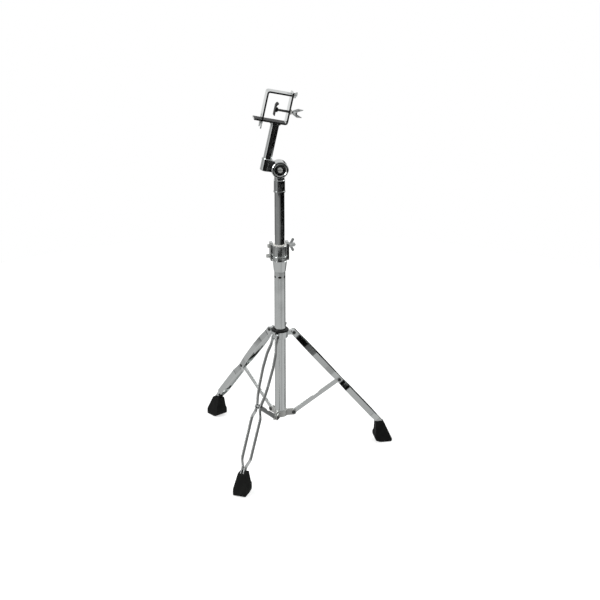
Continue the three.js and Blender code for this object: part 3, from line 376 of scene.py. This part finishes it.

# %% [markdown]
# A ring of crimps under the height clamp holds the clamp's sleeve on the tube. They are pressed
# with a round-nosed tool, so a stretched sphere is the tool here, and a Boolean modifier presses
# it in. The hollows get a near-black, rough chrome, which is painted shade.

# %% Press the crimps
CRIMPS = 6
CRIMP_BELOW_CLAMP = 12.5
CRIMP_TURN = 20.5
TOOL_RADIUS = 2.1
TOOL_OUT = 1.1
TOOL_STRETCH = (1, 3.2, 1.4)
CRIMP_HALF_HEIGHT = 3.2
CRIMP_SKIN = 0.06
crimp_height = box_mm("height_clamp")[0].z - CRIMP_BELOW_CLAMP
for i in range(CRIMPS):
    angle = math.radians(CRIMP_TURN) + 2 * math.pi * i / CRIMPS
    out = (base_radius + TOOL_OUT) * MM
    deselect()
    bpy.ops.mesh.primitive_uv_sphere_add(
        segments=24, ring_count=16, radius=TOOL_RADIUS * MM, rotation=(0, 0, angle),
        location=(mast_axis.x + out * math.cos(angle), mast_axis.y + out * math.sin(angle),
                  crimp_height * MM),
    )
    tool = bpy.context.object
    tool.scale = TOOL_STRETCH
    crimp = base_tube.modifiers.new("Crimp", "BOOLEAN")
    crimp.operation = "DIFFERENCE"
    crimp.object = tool
    apply_modifiers(base_tube)
    bpy.data.objects.remove(tool)
hand_over(smooth(base_tube), "base_tube_drawn", "base", "chrome_tube", chrome_tube, "base_tube")
base_tube.data.materials.append(crimp_painted_shade)
# Faces inside the crimps get the painted shade.
hollows = 0
for face in base_tube.data.polygons:
    out = (face.center.xy - mast_axis.xy).length / MM
    beside = abs(face.center.z / MM - crimp_height) < CRIMP_HALF_HEIGHT
    if beside and base_radius - TOOL_OUT < out < base_radius - CRIMP_SKIN:
        face.material_index = 1
        hollows += 1
print("faces in the crimps", hollows)

# %% [markdown]
# The upper tube stands on the mast's axis. The arm tube leans with the head, whose upward
# direction is square to the way of the pressure pad. Its length is worked out from its box, less
# what the leaning ends add to it.

# %% Upper tube and arm tube
low, high = box_mm("upper_tube")
upper_tube = stand_at(tube(low.z, high.z, (high.y - low.y) / 2), mast_foot, (0, 0, 1))
hand_over(smooth(upper_tube), "upper_tube_drawn", "mast", "chrome_tube", chrome_tube, "upper_tube")

pad_way = Vector(joint["pad_slide"]["axis"])
head_up = Vector((-pad_way.z, 0, pad_way.x))
if head_up.z < 0:
    head_up.negate()
low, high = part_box("arm_tube")
arm_radius = (high.y - low.y) / 2 / MM
middle = (low + high) / 2
lean = math.acos(head_up.z)
length = ((high.z - low.z) / MM - 2 * arm_radius * math.sin(lean)) / math.cos(lean)
arm = stand_at(tube(-length / 2, length / 2, arm_radius), middle, head_up)
hand_over(smooth(arm), "arm_tube_drawn", "head", "chrome_tube", chrome_tube, "arm_tube")
print("arm, mm", round(length, 1), "leaning", round(math.degrees(lean), 1))

# %% [markdown]
# ## Legs and braces
# Each leg is two bent strips with edges that the mill rolled round, and each brace is a single
# one. The boots are moulded, with wider, softer edges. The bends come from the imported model.

# %% Strips, braces and boots
STRIP_EDGE = 0.5
BRACE_EDGE = 0.4
BOOT_EDGE = 1.4
for i in (1, 2, 3):
    for side in "ab":
        dressed(f"leg_{i}_strip_{side}", f"leg_{i}", "chrome_strip", chrome_strip, STRIP_EDGE)
    dressed(f"brace_{i}", f"stay_{i}", "chrome_strip", chrome_strip, BRACE_EDGE)
    dressed(f"foot_{i}", f"leg_{i}", "rubber", rubber, BOOT_EDGE, segments=4, angle=30)

# %% [markdown]
# ## Rivets
# A rivet is a pin whose ends were spun into low domes. The through rivets have two domes, and the
# pivot rivets are seen from outside the leg, so each half has one dome.

# %% Domed rivets
RIVET_PIN = 2.4
RIVET_HEAD = 4.2
RIVET_RISE = 1.9
RIVET_SIDES = 32
DOME_SHARES = ((1, 0), (0.97, 0.35), (0.86, 0.65), (0.66, 0.86), (0.36, 0.97), (0.08, 1))


def dome(base):
    """Rings from the rim of a rivet head up to its crown."""
    return [(RIVET_HEAD * share, base + RIVET_RISE * up) for share, up in DOME_SHARES]


def rivet(name, centre, axis, half_grip, body, node):
    rings = [(r, -z) for r, z in reversed(dome(half_grip))]
    rings += [(RIVET_PIN, -half_grip), (RIVET_PIN, half_grip)] + dome(half_grip)
    piece = smooth(turn(rings, RIVET_SIDES))
    hand_over(stand_at(piece, centre, axis), name, body, "steel", rivet_steel, node)


for i in (1, 2, 3):
    for kind, body in (("leg", f"leg_{i}"), ("brace", f"stay_{i}")):
        node = f"{kind}_{i}_rivet"
        hinge = joint[f"{kind}_{i}_fold"]
        low, high = box_mm(f"{kind}_1_rivet")
        half_grip = (high.y - low.y) / 2 - RIVET_RISE
        rivet(node + "_domed", hinge["pos_m"], hinge["axis"], half_grip, body, node)

# %% [markdown]
# The rivet at the brace holds the two strips apart with a spacer on each side. It comes in two
# halves, one for each strip, that stop short of the brace. The first leg's axis lies along Y, so
# its box gives the sizes for all three.

# %% Pivot rivets, one half on each side of the brace
SPACER_CHAMFER = 0.3
SPACER_END = 3.25
low, high = box_mm("leg_1_pivot_a")
near, far = low.y, high.y
spacer = (high.z - low.z) / 2
head_base = far - RIVET_RISE
for i in (1, 2, 3):
    low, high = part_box(f"leg_{i}_pivot_a")
    axis = Vector(joint[f"leg_{i}_fold"]["axis"])
    centre = (low + high) / 2 - axis * (near + far) / 2 * MM
    for side, way in (("a", 1), ("b", -1)):
        rings = [(spacer - SPACER_CHAMFER, near), (spacer, near + SPACER_CHAMFER),
                 (spacer, SPACER_END - SPACER_CHAMFER), (spacer - SPACER_CHAMFER, SPACER_END),
                 (RIVET_PIN, SPACER_END), (RIVET_PIN, head_base)]
        piece = smooth(turn(rings + dome(head_base), RIVET_SIDES))
        stand_at(piece, centre, axis * way)
        node = f"leg_{i}_pivot_{side}"
        hand_over(piece, node + "_domed", f"leg_{i}", "steel", rivet_steel, node)

# %% [markdown]
# ## Collars, clamp and tilter
# Die castings with plated edges, and bars that were bent cold. The collar's bush is black nylon
# and the clamp's is natural. The faces of the clamp frame's lower half that look up are painted
# black with the pad's coating, as painted shade inside the frame.

# %% Castings, bars and bushes
UPWARDS = 0.9
# Node, body, slot, finish, width of its rounded edges in mm
for node, body, slot, finish, edge in (
    ("lower_collar", "base", "steel", nickel_steel, 0.35),
    ("upper_collar", "collar", "cast_zinc", chrome_cast, 0.5),
    ("collar_bush", "collar", "nylon", nylon, 0.3),
    ("height_clamp", "base", "cast_zinc", chrome_cast, 0.8),
    ("mast_bush", "bush", "white_nylon", white_nylon, 0.3),
    ("tilter_base", "mast", "cast_zinc", chrome_cast, 0.5),
    ("tilter_head", "head", "cast_zinc", chrome_cast, 0.5),
    ("clamp_frame", "head", "chrome_bar", chrome_bar, 0.25),
    ("clamp_gate", "head", "chrome_bar", chrome_bar, 0.4),
    ("press_pad", "pad", "dark_steel", dark_coat_and_painted_shade, 0.5),
    ("press_nut", "head", "steel", nickel_steel, 0.3),
):
    piece = dressed(node, body, slot, finish, edge)
    if node == "clamp_frame":
        # Upward faces in the frame's lower half are painted black as painted shade.
        piece.data.materials.append(dark_coat_and_painted_shade)
        heights = [face.center.dot(head_up) for face in piece.data.polygons]
        middle = (min(heights) + max(heights)) / 2
        for face, height in zip(piece.data.polygons, heights):
            if face.normal.dot(head_up) > UPWARDS and height < middle:
                face.material_index = 1

# %% [markdown]
# ## Wing nuts and wing screws
# Small castings that thumbs have rounded further, so their bevel is wide for their size. Three
# have a satin plate, and the two on the clamp frame are as bright as the frame.

# %% Wing nuts and wing screws
WING_EDGE = 0.6
for node, body, finish in (
    ("clamp_wing_nut", "clamp_nut", satin_cast),
    ("collar_wing_screw", "collar_screw", satin_cast),
    ("tilter_wing_nut", "tilter_nut", satin_cast),
    ("gate_nut_low", "low_nut", chrome_cast),
    ("gate_nut_side", "side_nut", chrome_cast),
):
    dressed(node, body, "cast_zinc", finish, WING_EDGE, segments=3, angle=30)

# %% [markdown]
# ## Bolts and threads
# A bolt is a hexagon head with a chamfered crown, and a threaded shank. A true thread is a helix,
# but at this size rings at its real pitch, each a crest between two roots, look the same and close
# cleanly at both ends.

# %% Threads as rings, and hexagon heads
PITCH = 1.0
ROOT = 2.35
CREST = 2.75
THREAD_SIDES = 24
HEAD_CHAMFER = 0.45


def threaded_rod(start, end):
    """A rod along Z with a crest and a root for each turn of its thread."""
    turns = int(abs(end - start) / PITCH)
    step = (end - start) / turns
    rings = [(ROOT, start)]
    for k in range(turns):
        rings += [(CREST, start + step * (k + 0.5)), (ROOT, start + step * (k + 1))]
    return turn(rings, THREAD_SIDES)


def hexagon_head(height, radius):
    deselect()
    bpy.ops.mesh.primitive_cylinder_add(
        vertices=6, radius=radius * MM, depth=height * MM, location=(0, 0, height / 2 * MM)
    )
    head = bpy.context.object
    bpy.ops.object.transform_apply(location=True, rotation=True, scale=True)
    bpy.ops.object.mode_set(mode="EDIT")
    bpy.ops.mesh.select_all(action="SELECT")
    bpy.ops.mesh.bevel(offset=HEAD_CHAMFER * MM, segments=2, affect="EDGES")
    bpy.ops.object.mode_set(mode="OBJECT")
    return head


def bolt(name, node, axis_index, head_height, body):
    """A hexagon bolt in the box of its node, its head at the low end of the axis."""
    low, high = box_mm(node)
    size = high - low
    axis = Vector([1.0 if k == axis_index else 0.0 for k in range(3)])
    head = hexagon_head(head_height, min(size) / 2)
    shank = threaded_rod(head_height - PITCH, size[axis_index])
    join(head, shank)
    foot = (low + high) / 2 - axis * size[axis_index] / 2
    stand_at(smooth(head), foot * MM, axis)
    hand_over(head, name, body, "steel", nickel_steel, node)


# %% [markdown]
# The pressure screw is seen along its whole length, so it gets a real shank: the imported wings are
# cut from their plain rod where the hub begins, and a threaded rod takes its place. Its shank is
# dark and oiled, and its cast wings have the satin plate of the wing nuts.

# %% Where the hub of the pressure screw begins
HUB_STEP = 0.5
screw_origin = Vector(joint["screw_spin"]["pos_m"])
screw_axis = Vector(joint["screw_spin"]["axis"]).normalized()
if screw_axis.x < 0:
    screw_axis.negate()
reach = []
source = frame["nodes"]["press_screw"]
for vertex in source.data.vertices:
    offset = source.matrix_world @ vertex.co - screw_origin
    along = offset.dot(screw_axis)
    reach.append((along / MM, (offset - screw_axis * along).length / MM))
tip = min(along for along, radius in reach)
hub = min(along for along, radius in reach if radius > CREST + HUB_STEP)
print("pressure screw: tip and hub along its axis, mm", round(tip, 2), round(hub, 2))

# %% Cut off the rod and thread a new one
SCREW_WING_EDGE = 0.45
SHANK_IN_HUB = 1
wings = merged_copy("press_screw")
bpy.ops.object.mode_set(mode="EDIT")
bpy.ops.mesh.select_all(action="SELECT")
bpy.ops.mesh.bisect(
    plane_co=screw_origin + screw_axis * hub * MM, plane_no=screw_axis,
    use_fill=True, clear_inner=True,
)
bpy.ops.mesh.select_all(action="SELECT")
bpy.ops.mesh.bevel(offset=SCREW_WING_EDGE * MM, segments=2, affect="EDGES", clamp_overlap=True)
bpy.ops.object.mode_set(mode="OBJECT")
join(wings, stand_at(threaded_rod(tip, hub + SHANK_IN_HUB), screw_origin, screw_axis))
hand_over(smooth(wings), "press_screw_threaded", "screw", "cast_zinc", rivet_steel, "press_screw")
wings.data.materials.append(satin_cast)
for face in wings.data.polygons:
    if (face.center - screw_origin).dot(screw_axis) > hub * MM:
        face.material_index = 1

# %% [markdown]
# The three hexagon bolts lie along X or Y, so the box of each node gives its length and the
# distance across its corners.

# %% Hexagon bolts
# Name, node, axis (0 is X and 1 is Y), height of the head in mm, body
for row in (
    ("clamp_bolt_hexagon", "clamp_bolt", 0, 4.6, "base"),
    ("fixing_bolt_hexagon", "fixing_bolt", 0, 7.5, "base"),
    ("tilter_bolt_hexagon", "tilter_bolt", 1, 3.6, "mast"),
):
    bolt(*row)

# %% [markdown]
# ## Studio
# A pale floor and a white surround. The chrome needs something dark to show its form, so mirrors
# see a studio with a dark side in place of the plain white. The light on the object stays plain.
# The floor takes the object's shadow, its glow makes it white to the camera, and mirrors look
# through it to the surround, which has a floor of its own.

# %% Floor
FLOOR_RADIUS = 1.5
FLOOR_BELOW = 0.0004
FLOOR_PAINT = "#D8D9D8"
FLOOR_GLOW = 0.62
deselect()
bpy.ops.mesh.primitive_circle_add(
    vertices=128, radius=FLOOR_RADIUS, fill_type="NGON", location=(mast_axis.x, 0, -FLOOR_BELOW)
)
floor = bpy.context.object
floor.name = "studio_floor"
floor_paint, tree, place = new_material("pale_floor_paint")
ray = add_node(tree, "ShaderNodeLightPath")
paint = add_node(tree, "ShaderNodeBsdfDiffuse", {"Color": linear(FLOOR_PAINT)})
glow = add_node(tree, "ShaderNodeEmission", {"Color": (1, 1, 1, 1), "Strength": FLOOR_GLOW})
none = add_node(tree, "ShaderNodeEmission", {"Strength": 0.0})
seen = add_node(tree, "ShaderNodeMixShader", links={
    0: ray.outputs["Is Camera Ray"], 1: none.outputs[0], 2: glow.outputs[0]})
both = add_node(tree, "ShaderNodeAddShader", links={0: paint.outputs[0], 1: seen.outputs[0]})
clear = add_node(tree, "ShaderNodeBsdfTransparent")
surface = add_node(tree, "ShaderNodeMixShader", links={
    0: ray.outputs["Is Glossy Ray"], 1: both.outputs[0], 2: clear.outputs[0]})
close_material(tree, surface)
floor.data.materials.append(floor_paint)

# %% [markdown]
# Photographers stand black cards beside bright chrome, so that its far side turns dark and the
# tube looks round. Three curved cards of black velvet stand low to the front and right. Each is
# part of an open cylinder round the mast. Only mirrors see them: they cast no shadow and take no
# light off the object.

# %% Black cards
# Name, radius, lower and upper edge in metres, first and last direction in degrees from the front
CARDS = (("black_card_right", 1.4, 0.0, 0.26, 24, 138),
         ("black_card_front", 1.4, 0.168, 0.26, -45, 24),
         ("black_card_near", 0.8, 0.15, 0.208, -40, 24))
velvet, tree, place = new_material("black_velvet")
close_material(tree, add_node(tree, "ShaderNodeBsdfDiffuse", {"Color": linear("#0B0B0B")}))
for name, radius, low, high, first, last in CARDS:
    deselect()
    bpy.ops.mesh.primitive_cylinder_add(
        vertices=120, radius=radius, depth=high - low, end_fill_type="NOTHING",
        location=(mast_axis.x, 0, (low + high) / 2))
    card = bpy.context.object
    card.name = name
    bpy.ops.object.mode_set(mode="EDIT")
    bpy.ops.mesh.select_mode(type="FACE")
    bpy.ops.mesh.select_all(action="DESELECT")
    bpy.ops.object.mode_set(mode="OBJECT")
    for face in card.data.polygons:
        direction = math.degrees(math.atan2(face.center.x, -face.center.y))
        face.select = not first < direction < last
    bpy.ops.object.mode_set(mode="EDIT")
    bpy.ops.mesh.delete(type="FACE")
    bpy.ops.object.mode_set(mode="OBJECT")
    card.data.materials.append(velvet)
    card.visible_camera = card.visible_diffuse = card.visible_shadow = False
    print(name, len(card.data.polygons), "faces")

# %% [markdown]
# The surround that mirrors see is built up by height. A ray that leaves a tube steeply meets the
# pale floor, with one dark strip to the right. A band above it holds what the upright tubes show.
# Higher up is the dark room with a light panel at the right, then a white sheet all round, and
# overhead the grey roof. Within each band the grey depends on how far the ray leans to one side.
# Heights and leans are parts of a ray's unit length, and each band is a row of (lean, grey).

# %% What the mirrors see
ROOM_SIDE = (0.870, -0.492, 0.0)
STRIP_SIDE = (0.814, 0.581, 0.0)
ROOM_LEVELS = ((-1.0, 0.5), (-0.8, 0.52), (-0.75, 0.95), (-0.64, 0.95), (-0.6, 0.01),
               (0.15, 0.005), (0.22, 0.05), (0.3, 0.005), (0.78, 0.005), (0.84, 0.6), (1.0, 0.6))
TUBE_LEVELS = ((-1.0, 0.24), (-0.85, 0.2), (-0.76, 0.36), (-0.4, 0.28), (0.0, 0.32),
               (0.35, 0.2), (0.62, 0.08), (0.7, 0.01), (1.0, 0.01))
FLOOR_LEVELS = ((-1.0, 0.66), (-0.36, 0.6), (-0.24, 0.42), (-0.12, 0.64), (0.5, 0.68),
                (0.8, 0.62), (0.86, 0.2), (1.0, 0.16))
FLOOR_EDGE = (-0.352, -0.338)
TUBE_EDGE = (-0.3, -0.27)
SHEET_EDGE = (-0.02, 0.12)
ROOF_EDGE = (0.42, 0.62)
SHEET_LEVEL = 0.86
ROOF_LEVEL = 0.5
world = bpy.data.worlds.new("studio_surround")
bpy.context.scene.world = world
world.use_nodes = True
tree = world.node_tree
tree.nodes.clear()
ray = add_node(tree, "ShaderNodeLightPath")
way = add_node(tree, "ShaderNodeTexCoord").outputs["Generated"]


def surround_band(side, levels):
    """A grey for each direction, by how far the direction leans to the given side."""
    lean_to = add_node(tree, "ShaderNodeVectorMath",
                       {"operation": "DOT_PRODUCT", 1: side}, {0: way})
    share = add_node(tree, "ShaderNodeMapRange", {"From Min": -1, "From Max": 1},
                     {"Value": lean_to.outputs["Value"]})
    ramp = add_node(tree, "ShaderNodeValToRGB", links={0: share.outputs[0]})
    while len(ramp.color_ramp.elements) < len(levels):
        ramp.color_ramp.elements.new(0.5)
    for element, (where, level) in zip(ramp.color_ramp.elements, levels):
        element.position = (where + 1) / 2
        element.color = (level, level, level, 1)
    return ramp.outputs[0]


def mixed(factor, low_colour, high_colour):
    """Runs from one colour to another, or to a plain grey, as the factor rises."""
    mix = add_node(tree, "ShaderNodeMix", {"data_type": "RGBA"}, {0: factor, 6: low_colour})
    if isinstance(high_colour, float):
        mix.inputs[7].default_value = (high_colour, high_colour, high_colour, 1)
    else:
        tree.links.new(high_colour, mix.inputs[7])
    return mix.outputs[2]


height = add_node(tree, "ShaderNodeSeparateXYZ", links={0: way}).outputs["Z"]
over_floor, over_tubes, to_sheet, to_roof = [
    add_node(tree, "ShaderNodeMapRange",
             {"interpolation_type": "SMOOTHSTEP", "From Min": low, "From Max": high},
             {"Value": height}).outputs[0]
    for low, high in (FLOOR_EDGE, TUBE_EDGE, SHEET_EDGE, ROOF_EDGE)]
lower = mixed(over_floor, surround_band(STRIP_SIDE, FLOOR_LEVELS),
              surround_band(ROOM_SIDE, TUBE_LEVELS))
sides = mixed(over_tubes, lower, surround_band(ROOM_SIDE, ROOM_LEVELS))
studio = mixed(to_roof, mixed(to_sheet, sides, SHEET_LEVEL), ROOF_LEVEL)

# %% [markdown]
# Three backgrounds share the world. Mirrors and glass see the studio, the camera sees plain white,
# and all other rays get a plain even light, so that the object is lit the same from all round.

# %% World: a studio for mirrors, white for the camera
AMBIENT = 0.62
mirror = add_node(tree, "ShaderNodeMath", {"operation": "MAXIMUM"}, {
    0: ray.outputs["Is Glossy Ray"], 1: ray.outputs["Is Transmission Ray"]})
plain = add_node(tree, "ShaderNodeBackground", {"Color": (1, 1, 1, 1), "Strength": AMBIENT})
room = add_node(tree, "ShaderNodeBackground", {"Strength": 1.0}, {"Color": studio})
white = add_node(tree, "ShaderNodeBackground", {"Color": (1, 1, 1, 1), "Strength": 1.0})
lit = add_node(tree, "ShaderNodeMixShader", links={
    0: mirror.outputs[0], 1: plain.outputs[0], 2: room.outputs[0]})
shown = add_node(tree, "ShaderNodeMixShader", links={
    0: ray.outputs["Is Camera Ray"], 1: lit.outputs[0], 2: white.outputs[0]})
add_node(tree, "ShaderNodeOutputWorld", links={"Surface": shown.outputs[0]})
print("world nodes", len(tree.nodes))

# %% [markdown]
# Two wide, round lamps shape the dull pieces and lay a soft shadow under the feet: the key lamp to
# the left, and a weaker fill lamp behind to the right.

# %% Soft lamps
STAND_MIDDLE = 0.42
# Name, place in metres, width in metres, power in watts
LAMPS = (("key_lamp", (-2.0, -0.5, 1.7), 1.2, 26),
         ("fill_lamp", (1.8, 0.6, 1.6), 1.4, 10))
stand_middle = Vector((mast_axis.x, 0, STAND_MIDDLE))
for name, place, size, power in LAMPS:
    lamp = bpy.data.lights.new(name, "AREA")
    lamp.shape = "DISK"
    lamp.size = size
    lamp.energy = power
    holder = bpy.data.objects.new(name, lamp)
    holder.location = place
    holder.rotation_euler = (stand_middle - Vector(place)).to_track_quat("-Z", "Y").to_euler()
    bpy.context.scene.collection.objects.link(holder)
    print(name, power, "W")

# %% [markdown]
# ## Camera
# A 105 mm lens nearly four metres away, a little left of the front and looking down on the stand.
# It was fitted to the leg pivots, the strips' necks and the soles of the boots in the photograph.

# %% Camera
DISTANCE = 3.923
AZIMUTH, ELEVATION = math.radians(-9.454), math.radians(20.451)
AIM_TURN, AIM_DROP = math.radians(-0.703), math.radians(0.855)
AIM_HEIGHT = 0.43
SENSOR_MM = 36
LENS_MM = 105.38


def from_front(azimuth, elevation):
    return Vector((
        math.sin(azimuth) * math.cos(elevation),
        -math.cos(azimuth) * math.cos(elevation),
        math.sin(elevation),
    ))


lens = bpy.data.cameras.new("photo_camera")
lens.sensor_width = SENSOR_MM
lens.lens = LENS_MM
camera = bpy.data.objects.new("photo_camera", lens)
bpy.context.scene.collection.objects.link(camera)
aim = mast_foot + Vector((0, 0, AIM_HEIGHT))
camera.location = aim + from_front(AZIMUTH, ELEVATION) * DISTANCE
look = -from_front(AZIMUTH + AIM_TURN, ELEVATION + AIM_DROP)
camera.rotation_euler = look.to_track_quat("-Z", "Y").to_euler()
bpy.context.scene.camera = camera
bpy.context.scene.view_settings.view_transform = "Standard"
